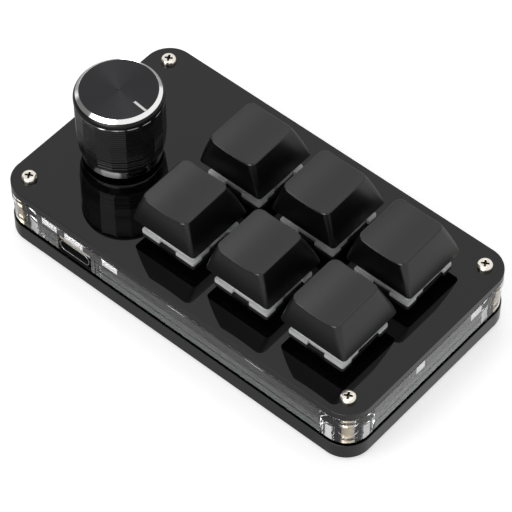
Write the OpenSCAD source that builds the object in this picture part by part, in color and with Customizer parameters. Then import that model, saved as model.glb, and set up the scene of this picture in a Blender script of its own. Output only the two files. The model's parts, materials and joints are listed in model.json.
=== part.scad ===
// Desk keypad with six sprung keys and one knob that turns and presses.
// Four flat sheets are stacked on corner standoffs: a black top sheet, two clear
// frames and a black base sheet. A circuit board hangs from the key switches
// inside the frames and carries the rotary encoder under the knob.
// Origin: centre of the outline, on the surface that the feet stand on.
// +X runs along the long side towards the keys, +Y to the back, +Z up.
// Lengths are in millimetres.

/* [Board] */
// Length of the board along X
board_w = 104.5; // [102:0.5:116]
// Depth of the board along Y
board_d = 57.5; // [55:0.5:66]
// Radius of the board's corners
corner_r = 6.5; // [4:0.5:8]
// Thickness of the black top sheet
top_t = 2; // [1.5:0.1:2.5]
// Thickness of the lower clear frame
lower_t = 6; // [5.5:0.5:8]
// Thickness of the black base sheet
base_t = 5; // [4:0.5:6]
// Depth of the dark step around the top of the base sheet
step_w = 0.9; // [0.4:0.1:1.5]
// Height of that step
step_h = 0.6; // [0.3:0.1:1]
// Width of the clear frames' walls
frame_wall = 4; // [3.5:0.5:4.5]
// How much smaller the lower frame is than the top sheet on each side
lower_inset = 0.3; // [0:0.1:0.5]

/* [Fasteners and feet] */
// Distance of the corner screws from the board's sides
screw_inset = 5; // [4.5:0.5:6]
// Nominal diameter of the screws
screw_d = 2; // [1.6:0.2:2.2]
// Diameter of the screw heads
head_d = 3.7; // [3.2:0.1:4]
// Height of the screw heads
head_h = 1.3; // [1:0.1:1.4]
// Diameter of the brass standoffs
standoff_d = 4; // [3.6:0.2:4.4]
// Diameter of the rubber feet
foot_d = 8; // [6:1:10]
// Thickness of the rubber feet
foot_t = 1; // [0.8:0.1:2]
// Distance of the feet's centres from the board's sides
foot_inset = 12; // [11:0.5:14]

/* [Keys] */
// Distance between the key columns
pitch_x = 21.6; // [20:0.1:22]
// Distance between the key rows
pitch_y = 22.3; // [20:0.1:23]
// Distance of the middle key column from the board's centre
keys_x = 12.1; // [11:0.1:13]
// Distance of the middle of the key rows from the board's centre line
keys_y = 0.3; // [-1:0.1:1]
// Travel of a key
key_travel = 4; // [3:0.1:4]
// Width and depth of a keycap at its lower edge
cap_base = 18.3; // [17.8:0.1:18.4]
// Width of a keycap at its top
cap_top_w = 12.9; // [12.4:0.1:13.6]
// Where the keycap's top ends towards the front, from the key's axis
cap_top_front = 8.6; // [8.2:0.1:8.8]
// Where the keycap's top ends towards the back, from the key's axis
cap_top_back = 6; // [5.8:0.1:7]
// Height of the keycap's lower edge over the top sheet
cap_lift = 5.1; // [5.1:0.1:6]
// Height of the keycap's top corners over the top sheet
cap_top_z = 14.6; // [14.4:0.1:15]
// How deep the hollow in the keycap's top is
dish_depth = 0.7; // [0.4:0.1:1]

/* [Knob] */
// Distance of the knob's axis from the board's centre, to the left
knob_x = 36.7; // [35:0.1:38]
// Distance of the knob's axis from the board's centre line, to the front
knob_y = 3.8; // [-4:0.1:4]
// Largest diameter of the knob
knob_d = 20.9; // [20.4:0.1:22]
// Height of the knob
knob_h = 20.1; // [19.2:0.1:21]
// Gap between the knob and the top sheet
knob_gap = 1.2; // [1:0.1:2]
// How far the knob can be pressed
press_travel = 0.5; // [0.3:0.1:0.5]
// Number of flat facets around the knob
facet_count = 18; // [14:1:24]
// Depth of a facet at its middle
facet_depth = 0.18; // [0.16:0.02:0.3]
// Direction of the pointer line, from +X
pointer_angle = -5; // [-180:1:180]

/* [Socket] */
// Distance of the cable socket from the board's centre, to the left
socket_x = 29.4; // [26:0.1:36]
// Width of the socket's shell
socket_w = 8.94; // [8.9:0.02:9]
// Height of the socket's shell
socket_h = 3.16; // [3.1:0.02:3.2]
// Width of the slot for the socket in the lower frame
slot_w = 10; // [9.8:0.1:11]

/* [Hidden] */
$fn = 64;
key_count = 6;
columns = 3;

// A small overlap that keeps cuts clean
eps = 0.01;

// Depth of a switch from the top sheet's face to the circuit board
switch_depth = 5;
upper_t = switch_depth - top_t;
board_t = 1.6;

// Levels of the stack
base_z = foot_t;
lower_z = base_z + base_t;
upper_z = lower_z + lower_t;
top_z = upper_z + upper_t;
face_z = top_z + top_t;
board_z = upper_z - board_t;

// Holes and clearances
screw_hole_r = screw_d / 2 + 0.1;
thread_r = screw_d / 2 + 0.05;
standoff_hole_r = standoff_d / 2 + 0.15;
corner_pad_r = 5;
board_gap = 0.3;
counterbore_r = head_d / 2 + 0.25;
counterbore_h = head_h + 0.3;
top_screw_len = 4.5;
bottom_screw_len = 6;
head_side_h = 0.5;
head_crown = 0.6;
head_chamfer = 0.1;
drive_len = 2.1;
drive_w = 0.5;
drive_depth = 0.8;

// Colours as the object shows them
black_gloss = [0.05, 0.05, 0.05];
black_matte = [0.09, 0.09, 0.09];
black_metal = [0.07, 0.07, 0.08];
clear_sheet = [0.85, 0.88, 0.88, 0.5];
nickel = [0.78, 0.76, 0.72];
brass_yellow = [0.80, 0.66, 0.36];
board_green = [0.05, 0.33, 0.24];
housing_white = [0.88, 0.90, 0.90];
spring_steel = [0.75, 0.75, 0.76];
stem_red = [0.62, 0.12, 0.12];
gold = [0.83, 0.68, 0.32];
rubber_black = [0.04, 0.04, 0.04];

// Switch, measured from the top sheet's face at the key's axis
cutout = 14;
housing_w = 13.9;
flange_w = 15.6;
flange_t = 1;
flange_corner = 0.4;
flange_gap_w = [9.6, 4.9];
cavity_w = 10.2;
floor_t = 1.2;
post_r = 2;
post_gap = 0.1;
post_len = 3.3;
guide_bore_r = 1.05;
guide_wall = 0.55;
guide_top = -0.2;
guide_depth = key_travel + 3;
cover_top = 6.6;
cover_top_w = 10;
cover_top_d = 9.6;
cover_base_w = 14;
cover_roof = 1.2;
cover_corner = 0.6;
cover_hole = [7.4, 6.2];
cover_cavity = [9.2, 7.4];
shoulder = [8.4, 6];
shoulder_z = 2;
neck = [6.8, 5.6];
neck_top = 6.5;
cross_top = 10.1;
cross_long = 4;
cross_a = 1.2;
cross_b = 1.1;
cross_fit = 0.06;
recess_r = 2.6;
recess_top = 4.2;
pole_r = 0.95;
pole_low = -1.2;
pole_root = 0.5;
pin_places = [[-3.81, 2.54], [2.54, 5.08]];
pin_hole_r = 0.75;
pin_hole_depth = 2;
pin = [1, 0.4];
pin_rise = 0.6;
solder_r = [0.6, 1.1];
solder_h = 0.9;

// Spring of a switch
spring_r = 2;
spring_wire_r = 0.16;
spring_turns = 8;
spring_sides = 6;
spring_steps = 10;
spring_gap = 0.02;

// Keycap
cap_wall = 1.5;
cap_roof_z = 12.4;
cap_post_r = 2.7;
cap_post_low = neck_top + 0.1;
cap_base_corner = 0.9;
cap_top_corner = 1.9;
cap_bulge = 0.15;
cap_tilt = 1.2;
cap_levels = 5;
cap_arc_steps = 5;
cap_spare = 0.5;

// Encoder, measured at the knob's axis
encoder_w = 12;
encoder_cutout = 12.6;
encoder_split = 2.4;
encoder_floor = 0.5;
rotor_cavity_r = 4.8;
rotor_cavity_top = 2.9;
rotor_r = 4.4;
rotor_low = 1.4;
rotor_t = 1.2;
notch_count = 20;
notch_r = 0.3;
bushing_r = 3.5;
bushing_len = 5;
shaft_r = 3;
shaft_gap = 0.05;
shaft_low = 1.15;
shaft_top = 22;
key_r = 2;
key_flat = 1.5;
collar_r = 3.6;
collar_gap = 0.2;
collar_low = rotor_low + rotor_t + press_travel + collar_gap;
collar_t = 1;
collar_cavity_r = 3.9;
collar_cavity_top = 4.4;
flat_low = 15;
flat_x = 1.5;
dome_r = 2.4;
dome_h = 0.6;
dome_t = 0.12;
terminal_places = [[-2.5, -1], [0, -1], [2.5, -1], [-2.5, 1], [2.5, 1]];
terminal_hole_r = 0.6;
terminal_t = 0.4;
terminal_w = 0.8;
terminal_tail = 1;
terminal_rise = 1.6;

// Knob, measured from its lower edge
knob_z = face_z + knob_gap;
knob_r = knob_d / 2;
knob_foot_r = 9.4;
knob_foot_h = 0.1;
knob_cove_r = 9.05;
knob_cove_z = 1.5;
knob_rim_r = 9.75;
knob_rim_z = 2.7;
knob_full_z = 3.4;
knob_shoulder_z = knob_h - 2.1;
shoulder_arc = 60;
ring_outer_r = 9.9;
ring_inner_r = 9.1;
ring_z = knob_h - 0.8;
knob_cavity_r = 8;
knob_roof = 1.7;
insert_lift = 1;
insert_r = knob_cavity_r - shaft_gap;
insert_hollow_r = 7;
insert_hollow_h = 2.3;
bushing_gap = 0.4;
bushing_roof_gap = 0.9;
insert_bore_clear_h = upper_z + switch_depth + bushing_len - knob_z + press_travel + bushing_roof_gap;
flat_gap = 0.2;
facet_break_z = 7.5;
facet_lean = 4.3;
facet_top_z = knob_shoulder_z - 0.15;
pointer_start = 5.2;
pointer_end = ring_inner_r - 0.1;
pointer_w = 0.6;
pointer_t = 0.2;

// Socket
socket_z = board_z - socket_h / 2;
socket_len = 7.3;
socket_recess = 0.35;
socket_wall = 0.3;
socket_round = 0.42;
tongue = [6.7, 4.6, 0.7];
contact_rows = 8;
contact = [0.25, 3.4, 0.06];
contact_pitch = 0.75;
contact_start = 0.5;
tab_w = 9.4;
tab_gap = 0.6;
tab_overlap = 2;

// Light packages and other parts on the circuit board
led_w = 5;
led_t = 1.5;
led_lens_r = 2.1;
led_lens_t = 0.3;
led_gap = 0.5;
led_x = board_w / 2 - frame_wall - led_gap - led_w / 2;
led_y = board_d / 2 - frame_wall - led_gap - led_w / 2;
led_places = concat(
    [for (x = [-38, -30, -20, 0, 23]) [x, -led_y]],
    [for (x = [-20, 0, 23]) [x, led_y]],
    [[led_x, -2], [led_x, 15.5], [-led_x, 6]]
);
chip = [4, 10, 1.5];
chip_place = [-23, 2];
chip_legs = 8;
chip_leg = [1, 0.4, 0.6];
chip_gap = 0.1;
chip_leg_pitch = 1.27;
passive = [2, 1.25, 0.7];
passive_places = [
    [-23, -6.5], [-23, 11], [-28, 8], [-28, -4], [-18.5, -20], [1.3, -20],
    [23, -20], [1.3, 20], [23, 20], [-18.5, 19]
];

function key_x(k) = keys_x + ((k - 1) % columns - 1) * pitch_x;
function key_y(k) = keys_y + (floor((k - 1) / columns) - 0.5) * pitch_y;
function mix(a, b, t) = a + (b - a) * t;

// The corner points of a rounded rectangle at height z, counter-clockwise
function rounded_ring(x0, x1, y0, y1, r, z, steps) = [
    for (corner = [[x1 - r, y1 - r, 0], [x0 + r, y1 - r, 90], [x0 + r, y0 + r, 180], [x1 - r, y0 + r, 270]])
        for (i = [0:steps])
            let (a = corner[2] + 90 * i / steps)
                [corner[0] + r * cos(a), corner[1] + r * sin(a), z]
];

// A closed solid through rings that all have the same number of points
module skin(rings) {
    n = len(rings[0]);
    last = len(rings) - 1;
    sides = [
        for (j = [0:last - 1]) for (i = [0:n - 1])
            let (a = j * n + i, b = j * n + (i + 1) % n)
                each [[a, a + n, b], [b, a + n, b + n]]
    ];
    bottom = [for (i = [0:n - 1]) i];
    lid = [for (i = [n - 1:-1:0]) last * n + i];
    polyhedron(points = [for (ring = rings) each ring], faces = concat(sides, [bottom, lid]));
}

module rounded_rect(w, d, r) {
    square([w - 2 * r, d], center = true);
    square([w, d - 2 * r], center = true);
    for (x = [-1, 1], y = [-1, 1]) translate([x * (w / 2 - r), y * (d / 2 - r)]) circle(r);
}

module at_screws() {
    for (x = [-1, 1], y = [-1, 1])
        translate([x * (board_w / 2 - screw_inset), y * (board_d / 2 - screw_inset)]) children();
}

module at_key(k) {
    translate([key_x(k), key_y(k), face_z]) children();
}

module at_all_keys() {
    for (k = [1:key_count]) translate([key_x(k), key_y(k)]) children();
}

module at_knob(z) {
    translate([-knob_x, -knob_y, z]) children();
}

// The open middle of the clear frames, with a round pad left around each standoff
module frame_opening(clearance) {
    difference() {
        square([board_w, board_d] - [1, 1] * 2 * (frame_wall + clearance), center = true);
        at_screws() circle(corner_pad_r + clearance);
    }
}

module top_plate() {
    color(black_gloss)
    translate([0, 0, top_z])
    linear_extrude(top_t)
    difference() {
        rounded_rect(board_w, board_d, corner_r);
        at_screws() circle(screw_hole_r);
        at_all_keys() square(cutout, center = true);
        translate([-knob_x, -knob_y]) square(encoder_cutout, center = true);
    }
}

module upper_frame() {
    color(clear_sheet)
    translate([0, 0, upper_z])
    linear_extrude(upper_t)
    difference() {
        rounded_rect(board_w, board_d, corner_r);
        frame_opening(0);
        at_screws() circle(standoff_hole_r);
    }
}

// The lower frame is open at the front for the cable socket
module lower_frame() {
    color(clear_sheet)
    translate([0, 0, lower_z])
    linear_extrude(lower_t)
    difference() {
        rounded_rect(board_w - 2 * lower_inset, board_d - 2 * lower_inset, corner_r - lower_inset);
        frame_opening(0);
        at_screws() circle(standoff_hole_r);
        translate([-socket_x - slot_w / 2, -board_d / 2 - eps]) square([slot_w, frame_wall + 2 * eps]);
    }
}

// The base sheet has a stepped upper edge, which shows as a dark line under the frame
module bottom_plate() {
    color(black_gloss)
    translate([0, 0, base_z])
    difference() {
        union() {
            linear_extrude(base_t - step_h) rounded_rect(board_w, board_d, corner_r);
            translate([0, 0, base_t - step_h - eps])
            linear_extrude(step_h + eps)
            rounded_rect(board_w - 2 * step_w, board_d - 2 * step_w, corner_r - step_w);
        }
        at_screws() translate([0, 0, -eps]) cylinder(r = screw_hole_r, h = base_t + 2 * eps);
        at_screws() translate([0, 0, -eps]) cylinder(r = counterbore_r, h = counterbore_h + eps);
    }
}

module rubber_feet() {
    color(rubber_black)
    for (x = [-1, 1], y = [-1, 1])
        translate([x * (board_w / 2 - foot_inset), y * (board_d / 2 - foot_inset), 0])
        cylinder(d = foot_d, h = foot_t);
}

// A pan-head screw with its head's seat at z = 0, the head above and the shank below
module pan_screw(shank) {
    dome = [
        for (a = [0:15:90])
            [mix(head_d / 2 - head_crown, head_d / 2, cos(a)), mix(head_side_h, head_h, sin(a))]
    ];
    difference() {
        union() {
            rotate_extrude() polygon(concat([[0, 0], [head_d / 2 - head_chamfer, 0]], dome, [[0, head_h]]));
            translate([0, 0, -shank]) cylinder(d = screw_d, h = shank + eps);
        }
        for (a = [0, 90])
            rotate([0, 0, a])
            translate([-drive_len / 2, -drive_w / 2, head_h - drive_depth])
            cube([drive_len, drive_w, drive_depth + eps]);
    }
}

module top_screws() {
    color(nickel)
    translate([0, 0, face_z]) at_screws() rotate([0, 0, 30]) pan_screw(top_screw_len);
}

module bottom_screws() {
    color(nickel)
    translate([0, 0, base_z + counterbore_h]) at_screws() mirror([0, 0, 1]) pan_screw(bottom_screw_len);
}

module standoffs() {
    color(brass_yellow)
    translate([0, 0, lower_z])
    linear_extrude(top_z - lower_z)
    at_screws()
    difference() {
        circle(d = standoff_d);
        circle(thread_r);
    }
}

// Notched round the standoffs, with a tab over the socket and holes for the soldered pins
module circuit_board() {
    color(board_green)
    translate([0, 0, board_z])
    linear_extrude(board_t)
    difference() {
        union() {
            frame_opening(board_gap);
            translate([-socket_x - tab_w / 2, -board_d / 2 + tab_gap])
            square([tab_w, frame_wall + tab_overlap]);
        }
        at_all_keys() circle(post_r + post_gap);
        at_all_keys() for (p = pin_places) translate(p) circle(pin_hole_r);
        for (p = terminal_places)
            translate([-knob_x + p[0], -knob_y + p[1] * (encoder_w + terminal_t) / 2])
            circle(terminal_hole_r);
    }
}

// The controller sits on the underside of the board
module controller_chip() {
    color(black_matte)
    translate([chip_place[0], chip_place[1], board_z]) {
        translate([-chip[0] / 2, -chip[1] / 2, -chip[2]]) cube([chip[0], chip[1], chip[2] - chip_gap]);
        for (side = [-1, 1], i = [0:chip_legs - 1])
            translate([
                side * (chip[0] + chip_leg[0]) / 2 - chip_leg[0] / 2,
                (i - (chip_legs - 1) / 2) * chip_leg_pitch - chip_leg[1] / 2,
                -chip_leg[2]
            ])
            cube(chip_leg);
    }
}

module board_parts() {
    color(black_matte)
    for (p = passive_places)
        translate([p[0] - passive[0] / 2, p[1] - passive[1] / 2, board_z - passive[2]]) cube(passive);
}

// White light packages with a round lens hollow, close to the clear frame
module side_leds() {
    color(housing_white)
    for (p = led_places)
        translate([p[0], p[1], upper_z])
        difference() {
            translate([-led_w / 2, -led_w / 2, 0]) cube([led_w, led_w, led_t]);
            translate([0, 0, led_t - led_lens_t]) cylinder(r = led_lens_r, h = led_lens_t + eps);
        }
}

module socket_outline(shrink) {
    h = socket_h - 2 * shrink;
    rounded_rect(socket_w - 2 * shrink, h, h * socket_round);
}

// Socket parts lie along +Y from the socket's mouth at y = 0
module at_socket() {
    translate([-socket_x, -board_d / 2 + socket_recess, socket_z]) children();
}

module along_y(from, length) {
    translate([0, from + length, 0]) rotate([90, 0, 0]) linear_extrude(length) children();
}

module usb_shell() {
    color(nickel)
    at_socket()
    difference() {
        along_y(0, socket_len) socket_outline(0);
        along_y(-eps, socket_len - socket_wall + eps) socket_outline(socket_wall);
    }
}

module usb_tongue() {
    color(black_matte)
    at_socket()
    translate([-tongue[0] / 2, socket_len - socket_wall - tongue[1], -tongue[2] / 2])
    cube(tongue);
}

module usb_contacts() {
    color(gold)
    at_socket()
    for (i = [0:contact_rows - 1], side = [0, 1])
        mirror([0, 0, side])
        translate([
            (i - (contact_rows - 1) / 2) * contact_pitch - contact[0] / 2,
            socket_len - socket_wall - tongue[1] + contact_start,
            tongue[2] / 2
        ])
        cube(contact);
}

module encoder_base() {
    color(black_matte)
    at_knob(upper_z)
    difference() {
        translate([-encoder_w / 2, -encoder_w / 2, 0]) cube([encoder_w, encoder_w, encoder_split]);
        translate([0, 0, encoder_floor]) cylinder(r = rotor_cavity_r, h = encoder_split);
    }
}

// Metal cover of the encoder with its tall bush for the shaft
module encoder_bushing() {
    color(nickel)
    at_knob(upper_z)
    difference() {
        union() {
            translate([-encoder_w / 2, -encoder_w / 2, encoder_split])
            cube([encoder_w, encoder_w, switch_depth - encoder_split]);
            translate([0, 0, switch_depth - eps]) cylinder(r = bushing_r, h = bushing_len + eps);
        }
        translate([0, 0, encoder_split - eps])
        cylinder(r = rotor_cavity_r, h = rotor_cavity_top - encoder_split + eps);
        translate([0, 0, encoder_split]) cylinder(r = collar_cavity_r, h = collar_cavity_top - encoder_split);
        translate([0, 0, encoder_split]) cylinder(r = shaft_r + shaft_gap, h = switch_depth + bushing_len);
    }
}

// Blades along two sides of the encoder, soldered under the circuit board
module encoder_terminals() {
    color(nickel)
    at_knob(board_z - terminal_tail)
    for (p = terminal_places)
        translate([p[0] - terminal_w / 2, p[1] * (encoder_w + terminal_t) / 2 - terminal_t / 2, 0])
        cube([terminal_w, terminal_t, terminal_tail + board_t + terminal_rise]);
}

// The notched disc that turns with the shaft while the shaft slides through it
module encoder_rotor() {
    color(housing_white)
    at_knob(upper_z + rotor_low)
    difference() {
        cylinder(r = rotor_r, h = rotor_t);
        translate([0, 0, -eps])
        linear_extrude(rotor_t + 2 * eps)
        difference() {
            circle(key_r + shaft_gap);
            translate([key_flat + shaft_gap, -key_r - 1]) square([key_r, 2 * key_r + 2]);
        }
        for (i = [0:notch_count - 1])
            rotate([0, 0, 360 * i / notch_count])
            translate([rotor_r, 0, -eps])
            cylinder(r = notch_r, h = rotor_t + 2 * eps);
    }
}

// The domed snap disc that the shaft presses
module push_dome() {
    arc = [for (t = [0:0.25:1]) [dome_r * (1 - t), (dome_h - dome_t) * sin(90 * t)]];
    color(spring_steel)
    at_knob(upper_z + encoder_floor)
    rotate_extrude()
    polygon(concat(arc, [for (i = [len(arc) - 1:-1:0]) arc[i] + [0, dome_t]]));
}

module encoder_shaft() {
    color(nickel)
    at_knob(upper_z)
    difference() {
        union() {
            translate([0, 0, shaft_low]) cylinder(r = key_r, h = collar_low - shaft_low + eps);
            translate([0, 0, collar_low]) cylinder(r = collar_r, h = collar_t);
            translate([0, 0, collar_low]) cylinder(r = shaft_r, h = shaft_top - collar_low);
        }
        translate([key_flat, -key_r, shaft_low - eps]) cube([key_r, 2 * key_r, collar_low - shaft_low + eps]);
        translate([flat_x, -shaft_r, flat_low]) cube([shaft_r, 2 * shaft_r, shaft_top]);
    }
}

// Moulded core of the knob with the bore for the flatted shaft
module knob_insert() {
    low = knob_z + insert_lift;
    top = knob_z + knob_h - knob_roof;
    bore_top = upper_z + shaft_top;
    flat_z = upper_z + flat_low + flat_gap;
    color(black_matte)
    at_knob(0)
    difference() {
        translate([0, 0, low]) cylinder(r = insert_r, h = top - low);
        translate([0, 0, low - eps]) cylinder(r = insert_hollow_r, h = insert_hollow_h - insert_lift);
        translate([0, 0, low - eps])
        cylinder(r = bushing_r + bushing_gap, h = insert_bore_clear_h - insert_lift);
        translate([0, 0, low])
        difference() {
            cylinder(r = shaft_r + shaft_gap, h = bore_top - low);
            translate([flat_x + shaft_gap, -shaft_r - 1, flat_z - low])
            cube([shaft_r, 2 * shaft_r + 2, bore_top]);
        }
    }
}

// Outlines of the knob's turned foot and of its turned top, each from the axis outwards
function knob_foot_outline() = [
    [0, 0], [knob_foot_r, 0], [knob_foot_r, knob_foot_h], [knob_cove_r, knob_cove_z],
    [knob_rim_r, knob_rim_z], [knob_r, knob_full_z], [knob_r, facet_break_z], [0, facet_break_z]
];

function knob_top_outline() = concat(
    [[0, facet_top_z - eps], [knob_r, facet_top_z - eps]],
    [
        for (a = [0:15:shoulder_arc])
            let (
                out = (cos(a) - cos(shoulder_arc)) / (1 - cos(shoulder_arc)),
                up = sin(a) / sin(shoulder_arc)
            )
                [mix(ring_outer_r, knob_r, out), mix(knob_shoulder_z, ring_z, up)]
    ],
    [[ring_inner_r, knob_h], [0, knob_h]]
);

// Corners of the faceted grip at a height, with its flats at a distance from the axis
function facet_ring(flat, z) = [
    for (i = [0:facet_count - 1])
        let (a = 360 * i / facet_count, r = flat / cos(180 / facet_count))
            [r * cos(a), r * sin(a), z]
];

// Turned foot, grip of flat facets that lean inwards below the break, and turned top
module knob_shape() {
    flat = knob_r - facet_depth;
    intersection() {
        rotate_extrude() polygon(knob_foot_outline());
        skin([
            facet_ring(flat - (facet_break_z + eps) * tan(facet_lean), -eps),
            facet_ring(flat + eps * tan(facet_lean), facet_break_z + eps)
        ]);
    }
    translate([0, 0, facet_break_z - eps])
    linear_extrude(facet_top_z - facet_break_z + eps)
    polygon([for (p = facet_ring(flat, 0)) [p[0], p[1]]]);
    rotate_extrude() polygon(knob_top_outline());
}

module knob_body() {
    color(black_metal)
    at_knob(knob_z)
    difference() {
        knob_shape();
        translate([0, 0, -eps]) cylinder(r = knob_cavity_r, h = knob_h - knob_roof + eps);
        rotate([0, 0, pointer_angle])
        translate([pointer_start, -pointer_w / 2, knob_h - pointer_t])
        cube([pointer_end - pointer_start, pointer_w, 1]);
    }
}

// White filling of the pointer groove
module knob_pointer() {
    color(housing_white)
    at_knob(knob_z)
    rotate([0, 0, pointer_angle])
    translate([pointer_start, -pointer_w / 2, knob_h - pointer_t])
    cube([pointer_end - pointer_start, pointer_w, pointer_t]);
}

module cross(arm_a, arm_b, length, h) {
    translate([-length / 2, -arm_a / 2, 0]) cube([length, arm_a, h]);
    translate([-arm_b / 2, -length / 2, 0]) cube([arm_b, length, h]);
}

module block(size, z0, z1) {
    translate([-size[0] / 2, -size[1] / 2, z0]) cube([size[0], size[1], z1 - z0]);
}

// Lower switch housing: flange corners on the top sheet, hollow body through it, and a guide tube
module switch_base(k) {
    floor_z = -switch_depth + floor_t;
    color(housing_white)
    at_key(k)
    difference() {
        union() {
            difference() {
                union() {
                    linear_extrude(flange_t) rounded_rect(flange_w, flange_w, flange_corner);
                    block([housing_w, housing_w], -switch_depth, eps);
                }
                block([cavity_w, cavity_w], floor_z, flange_t + eps);
            }
            translate([0, 0, -switch_depth])
            cylinder(r = guide_bore_r + guide_wall, h = switch_depth + guide_top);
            translate([0, 0, -switch_depth - post_len]) cylinder(r = post_r, h = post_len + floor_t);
        }
        translate([0, 0, -guide_depth]) cylinder(r = guide_bore_r, h = guide_depth + guide_top + eps);
        for (side = [0:3])
            let (gap = flange_gap_w[side % 2])
                rotate([0, 0, 90 * side])
                translate([housing_w / 2, -gap / 2, 0])
                cube([flange_w / 2, gap, flange_t + eps]);
        for (p = pin_places)
            translate([p[0], p[1], -switch_depth - eps]) cylinder(r = pin_hole_r, h = pin_hole_depth);
    }
}

module switch_cover(k) {
    color(housing_white)
    at_key(k)
    difference() {
        skin([
            for (size = [[cover_base_w, cover_base_w, flange_t], [cover_top_w, cover_top_d, cover_top]])
                rounded_ring(-size[0] / 2, size[0] / 2, -size[1] / 2, size[1] / 2, cover_corner, size[2], 2)
        ]);
        block(cover_cavity, flange_t - eps, cover_top - cover_roof);
        block(cover_hole, flange_t, cover_top + eps);
    }
}

// Slider of a switch: shoulders under the cover's roof, a cross for the keycap and a guide pole
module switch_stem(k) {
    color(stem_red)
    at_key(k) {
        difference() {
            block(shoulder, shoulder_z, cover_top - cover_roof);
            translate([0, 0, shoulder_z - eps]) cylinder(r = recess_r, h = recess_top - shoulder_z + eps);
        }
        block(neck, recess_top + eps, neck_top);
        translate([0, 0, neck_top - eps]) cross(cross_a, cross_b, cross_long, cross_top - neck_top + eps);
        translate([0, 0, pole_low]) cylinder(r = pole_r, h = recess_top + pole_root - pole_low);
    }
}

// A pair of pins under each switch, with their solder cones
module switch_contacts() {
    color(gold)
    for (k = [1:key_count], p = pin_places)
        at_key(k)
        translate([p[0], p[1], -switch_depth - post_len]) {
            translate([-pin[0] / 2, -pin[1] / 2, 0])
            cube([pin[0], pin[1], post_len + floor_t + pin_rise]);
            translate([0, 0, post_len - board_t - solder_h])
            cylinder(r1 = solder_r[0], r2 = solder_r[1], h = solder_h);
        }
}

// One round wire wound up a steady helix, as rings of points square to the wire
function spring_rings() =
    let (
        steps = spring_turns * spring_steps,
        low = -switch_depth + floor_t + spring_wire_r + spring_gap,
        high = recess_top - spring_wire_r - spring_gap,
        slope = atan2(high - low, 360 * spring_turns * PI / 180 * spring_r)
    )
    [
        for (i = [0:steps])
            let (a = 360 * i / spring_steps, z = mix(low, high, i / steps))
            [
                for (j = [0:spring_sides - 1])
                    let (
                        b = 360 * j / spring_sides,
                        out = spring_wire_r * cos(b),
                        up = spring_wire_r * sin(b)
                    )
                    [
                        (spring_r + out) * cos(a) + up * sin(slope) * sin(a),
                        (spring_r + out) * sin(a) - up * sin(slope) * cos(a),
                        z + up * cos(slope)
                    ]
            ]
    ];

module switch_spring(k) {
    color(spring_steel)
    at_key(k)
    skin(spring_rings());
}

// Outline of the keycap at a height over the top sheet, moved inwards by a wall
function cap_ring(z, wall) =
    let (
        t = (z - cap_lift) / (cap_top_z - cap_lift),
        swell = cap_bulge * 4 * t * (1 - t),
        half = mix(cap_base, cap_top_w, t) / 2 + swell - wall,
        front = mix(cap_base / 2, cap_top_front, t) + swell - wall,
        back = mix(cap_base / 2, cap_top_back, t) + swell - wall,
        r = mix(cap_base_corner, cap_top_corner, t)
    )
    rounded_ring(-half, half, -front, back, max(r - wall / 2, 0.5), z, cap_arc_steps);

// The hollow in the top is a shallow trough along Y, a little higher at the back
module cap_dish() {
    r = (pow(cap_top_w / 2, 2) + pow(dish_depth, 2)) / (2 * dish_depth);
    translate([0, 0, cap_top_z - dish_depth])
    rotate([cap_tilt, 0, 0])
    translate([0, cap_base, r])
    rotate([90, 0, 0])
    cylinder(r = r, h = 2 * cap_base, $fn = 200);
}

module keycap(k) {
    top = cap_top_z + cap_spare;
    outer = [for (i = [0:cap_levels]) cap_ring(mix(cap_lift, top, i / cap_levels), 0)];
    inner = [for (z = [cap_lift - eps, cap_roof_z]) cap_ring(z, cap_wall)];
    color(black_matte)
    at_key(k)
    difference() {
        union() {
            difference() {
                skin(outer);
                skin(inner);
                cap_dish();
            }
            translate([0, 0, cap_post_low]) cylinder(r = cap_post_r, h = cap_roof_z - cap_post_low + eps);
        }
        translate([0, 0, cap_post_low - eps])
        cross(
            cross_a + cross_fit,
            cross_b + cross_fit,
            cross_long + cross_fit,
            cross_top - cap_post_low + eps
        );
    }
}

top_plate();
upper_frame();
lower_frame();
bottom_plate();
rubber_feet();
top_screws();
bottom_screws();
standoffs();
circuit_board();
controller_chip();
board_parts();
side_leds();
usb_shell();
usb_tongue();
usb_contacts();
encoder_base();
encoder_bushing();
encoder_terminals();
encoder_rotor();
push_dome();
encoder_shaft();
knob_insert();
knob_body();
knob_pointer();
switch_contacts();
for (k = [1:key_count]) {
    switch_base(k);
    switch_cover(k);
    switch_stem(k);
    switch_spring(k);
    keycap(k);
}
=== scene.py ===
"""Desk keypad with six sprung keys and a knob: the finished surfaces over its fixed frame.

The frame holds every piece at its real size. This script models the pieces that show with
rounded edges and turned grooves, gives every piece its finish, and sets up the studio.
"""

import contextlib
import json
import math

import bmesh
import bpy
from mathutils import Matrix, Vector


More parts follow.
